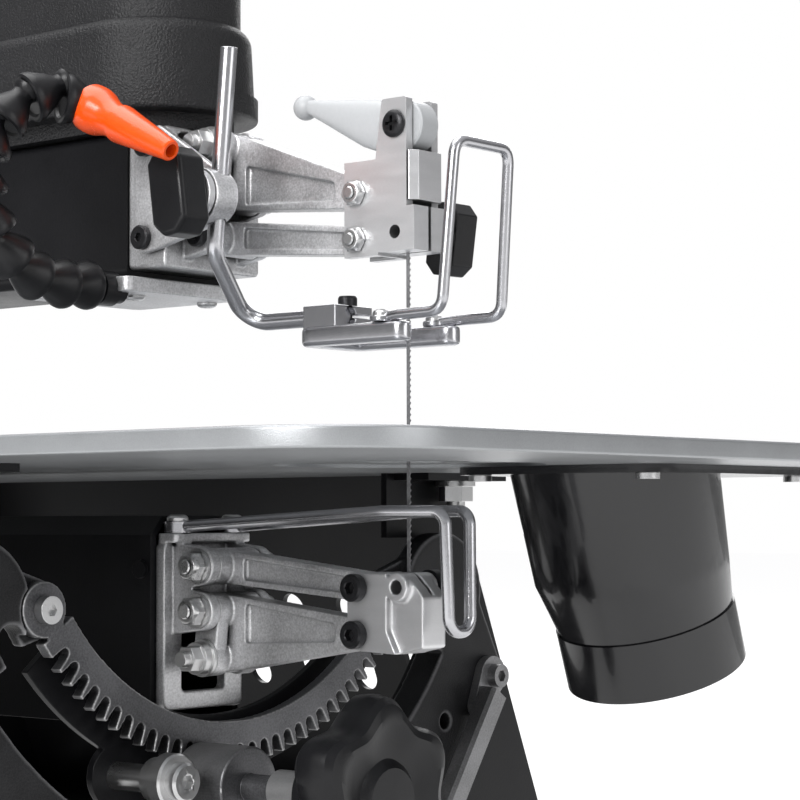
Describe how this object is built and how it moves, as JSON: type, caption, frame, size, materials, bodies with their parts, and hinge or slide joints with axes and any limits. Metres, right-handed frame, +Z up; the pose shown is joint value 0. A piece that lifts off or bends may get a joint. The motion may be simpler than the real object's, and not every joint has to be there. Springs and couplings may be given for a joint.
{
  "type": "scroll saw",
  "caption": "Scroll saw with a fixed table and base and a tilting head: two parallel-link arms drive a vertical blade, with hold-down foot, blower, dust port and tilt sector.",
  "frame": {"origin": "centre of the base's four-bolt pattern, on the underside of the base", "axes": "+X to the operator's right, +Y towards the rear, +Z up"},
  "size_m": [0.4452, 0.79, 0.374],
  "materials": {
    "table_grey": "matt silver-grey, cast",
    "black_paint": "satin black powder coat",
    "cast_grey": "dark grey cast, fine speckle",
    "link_grey": "machined and cast steel",
    "holder_steel": "machined steel",
    "fastener_steel": "zinc plated",
    "chrome": "bright",
    "black_plastic": "pebble texture",
    "port_black": "gloss",
    "nozzle_orange": "gloss",
    "lever_white": "translucent nylon",
    "grip_grey": "soft cap",
    "motor_black": "satin"
  },
  "bodies": {
    "base": {"base_frame": "black_paint", "mains_gland": "black_plastic", "front_trunnion_ring": "cast_grey", "rear_trunnion_ring": "cast_grey", "tilt_sector": "cast_grey", "table": "table_grey", "table_insert": "table_grey", "dust_port": "port_black", "base_fasteners": "fastener_steel"},
    "tilt_lock": {"tilt_lock_lever": "fastener_steel", "tilt_lock_grip": "grip_grey"},
    "head": {"head_carrier": "black_paint", "rear_head_carrier": "black_paint", "lower_arm_housing": "black_paint", "lower_bracket": "cast_grey", "lower_guard_wire": "chrome", "rear_column": "black_paint", "motor": "motor_black", "motor_fan_cover": "black_plastic", "head_fasteners": "fastener_steel"},
    "tilt_adjuster": {"tilt_knob": "black_plastic", "tilt_pinion": "holder_steel"},
    "lower_crank": {"lower_bellcrank": "link_grey", "lower_rod_bolt": "fastener_steel"},
    "lower_front_link": {"lower_link": "link_grey"},
    "lower_blade_holder": {"lower_holder": "holder_steel", "lower_holder_pins": "fastener_steel", "blade": "holder_steel"},
    "lower_rod": {"lower_push_rod": "link_grey"},
    "rocker": {"rear_rocker": "link_grey"},
    "drive_rod": {"con_rod": "link_grey"},
    "crank": {"motor_crank": "holder_steel"},
    "arm": {"upper_arm": "black_paint", "upper_arm_cover": "black_paint", "control_housing": "black_plastic", "upper_bracket": "cast_grey", "arm_fasteners": "fastener_steel", "hold_down_bracket": "black_paint", "blower_plate": "black_paint", "blower_hose": "black_plastic"},
    "upper_crank": {"upper_bellcrank": "link_grey", "upper_rod_bolt": "fastener_steel"},
    "upper_front_link": {"upper_link": "link_grey"},
    "upper_blade_holder": {"upper_holder": "holder_steel", "upper_holder_pins": "fastener_steel"},
    "upper_rod": {"upper_push_rod": "link_grey"},
    "cam": {"cam_lever": "lever_white"},
    "tension_slide": {"tension_block": "holder_steel"},
    "blade_clamp": {"upper_clamp_knob": "black_plastic"},
    "hold_down_clamp": {"hold_down_washer": "chrome", "hold_down_grip": "black_plastic"},
    "hold_down": {"hold_down_rod": "chrome"},
    "foot": {"presser_foot": "chrome", "foot_screws": "fastener_steel", "foot_guard_wire": "chrome"},
    "tension": {"tension_lever": "black_plastic"},
    "dial": {"speed_dial": "black_plastic"},
    "switch": {"power_switch": "black_plastic"},
    "nozzle": {"blower_nozzle": "nozzle_orange"}
  },
  "joints": [
    {"name": "head_tilt", "type": "hinge", "parent": "base", "child": "head", "pos_m": [0, -0.207, 0.175], "axis": [0, 1, 0], "range_deg": [-30, 35]},
    {"name": "tilt_adjuster_turn", "type": "hinge", "parent": "head", "child": "tilt_adjuster", "pos_m": [-0.02, -0.24, 0.0505], "axis": [0, 1, 0], "range_deg": [-354, 413]},
    {"name": "tilt_lock_turn", "type": "hinge", "parent": "base", "child": "tilt_lock", "pos_m": [0.156, -0.214, 0.081], "axis": [0, 1, 0], "range_deg": [0, 25]},
    {"name": "stroke", "type": "hinge", "parent": "head", "child": "lower_crank", "pos_m": [0, -0.2103, 0.1142], "axis": [-1, 0, 0], "range_deg": [-1.98, 13.06]},
    {"name": "lower_link_swing", "type": "hinge", "parent": "head", "child": "lower_front_link", "pos_m": [0, -0.2103, 0.1311], "axis": [-1, 0, 0], "range_deg": [-1.98, 13.06]},
    {"name": "lower_holder_pivot", "type": "hinge", "parent": "lower_crank", "child": "lower_blade_holder", "pos_m": [0, -0.2825, 0.1072], "axis": [-1, 0, 0], "range_deg": [-13.06, 1.98]},
    {"name": "lower_rod_pivot", "type": "hinge", "parent": "lower_crank", "child": "lower_rod", "pos_m": [0, -0.20856, 0.09628], "axis": [-1, 0, 0], "range_deg": [-13.06, 1.98]},
    {"name": "rocker_swing", "type": "hinge", "parent": "head", "child": "rocker", "pos_m": [0, 0.273, 0.1943], "axis": [-1, 0, 0], "range_deg": [-0.37, 2.41]},
    {"name": "drive_rod_pivot", "type": "hinge", "parent": "rocker", "child": "drive_rod", "pos_m": [0, 0.27474, 0.09628], "axis": [-1, 0, 0], "range_deg": [-2.41, 0.37]},
    {"name": "crank_turn", "type": "hinge", "parent": "head", "child": "crank", "pos_m": [0.02, 0.319, 0.115], "axis": [1, 0, 0], "continuous": true},
    {"name": "arm_lift", "type": "hinge", "parent": "head", "child": "arm", "pos_m": [0, 0.27126, 0.29232], "axis": [-1, 0, 0], "range_deg": [0, 5.5]},
    {"name": "upper_crank_swing", "type": "hinge", "parent": "arm", "child": "upper_crank", "pos_m": [0, -0.2103, 0.2744], "axis": [-1, 0, 0], "range_deg": [-1.98, 13.06]},
    {"name": "upper_link_swing", "type": "hinge", "parent": "arm", "child": "upper_front_link", "pos_m": [0, -0.2103, 0.2574], "axis": [-1, 0, 0], "range_deg": [-1.98, 13.06]},
    {"name": "upper_holder_pivot", "type": "hinge", "parent": "upper_crank", "child": "upper_blade_holder", "pos_m": [0, -0.2825, 0.2674], "axis": [-1, 0, 0], "range_deg": [-13.06, 1.98]},
    {"name": "upper_rod_pivot", "type": "hinge", "parent": "upper_crank", "child": "upper_rod", "pos_m": [0, -0.21204, 0.29232], "axis": [-1, 0, 0], "range_deg": [-13.06, 1.98]},
    {"name": "cam_turn", "type": "hinge", "parent": "upper_blade_holder", "child": "cam", "pos_m": [0, -0.301, 0.291], "axis": [1, 0, 0], "range_deg": [0, 80]},
    {"name": "tension_travel", "type": "slide", "parent": "upper_blade_holder", "child": "tension_slide", "axis": [0, 0, 1], "range_m": [-0.0015, 0]},
    {"name": "blade_clamp_turn", "type": "hinge", "parent": "upper_blade_holder", "child": "blade_clamp", "pos_m": [0.018, -0.301, 0.252], "axis": [1, 0, 0], "range_deg": [0, 180]},
    {"name": "hold_down_clamp_turn", "type": "hinge", "parent": "arm", "child": "hold_down_clamp", "pos_m": [-0.045, -0.2335, 0.268], "axis": [1, 0, 0], "range_deg": [-180, 0]},
    {"name": "hold_down_height", "type": "slide", "parent": "arm", "child": "hold_down", "axis": [0, -0.0958, 0.9954], "range_m": [-0.0325, 0.006]},
    {"name": "foot_tilt", "type": "hinge", "parent": "hold_down", "child": "foot", "pos_m": [-0.004, -0.265, 0.2235], "axis": [0, -1, 0], "range_deg": [-30, 35]},
    {"name": "tension_turn", "type": "hinge", "parent": "arm", "child": "tension", "pos_m": [-0.003, -0.175, 0.362], "axis": [0, 0, 1], "range_deg": [-60, 60]},
    {"name": "speed_turn", "type": "hinge", "parent": "arm", "child": "dial", "pos_m": [0.012, -0.115, 0.362], "axis": [0, 0, 1], "range_deg": [-150, 150]},
    {"name": "switch_rock", "type": "hinge", "parent": "arm", "child": "switch", "pos_m": [-0.018, -0.112, 0.356], "axis": [1, 0, 0], "range_deg": [0, 10]},
    {"name": "nozzle_swivel", "type": "hinge", "parent": "arm", "child": "nozzle", "pos_m": [-0.066, -0.202, 0.303], "axis": [0, 0, 1], "range_deg": [-20, 4]}
  ],
  "couplings": [
    {"joint": "tilt_adjuster_turn", "follows": "head_tilt", "ratio": 11.778},
    {"joint": "lower_link_swing", "follows": "stroke", "ratio": 1},
    {"joint": "lower_holder_pivot", "follows": "stroke", "ratio": -1},
    {"joint": "lower_rod_pivot", "follows": "stroke", "ratio": -1},
    {"joint": "rocker_swing", "follows": "stroke", "ratio": 0.18364},
    {"joint": "drive_rod_pivot", "follows": "stroke", "ratio": -0.18364},
    {"joint": "upper_crank_swing", "follows": "stroke", "ratio": 1},
    {"joint": "upper_link_swing", "follows": "stroke", "ratio": 1},
    {"joint": "upper_holder_pivot", "follows": "stroke", "ratio": -1},
    {"joint": "upper_rod_pivot", "follows": "stroke", "ratio": -1}
  ]
}
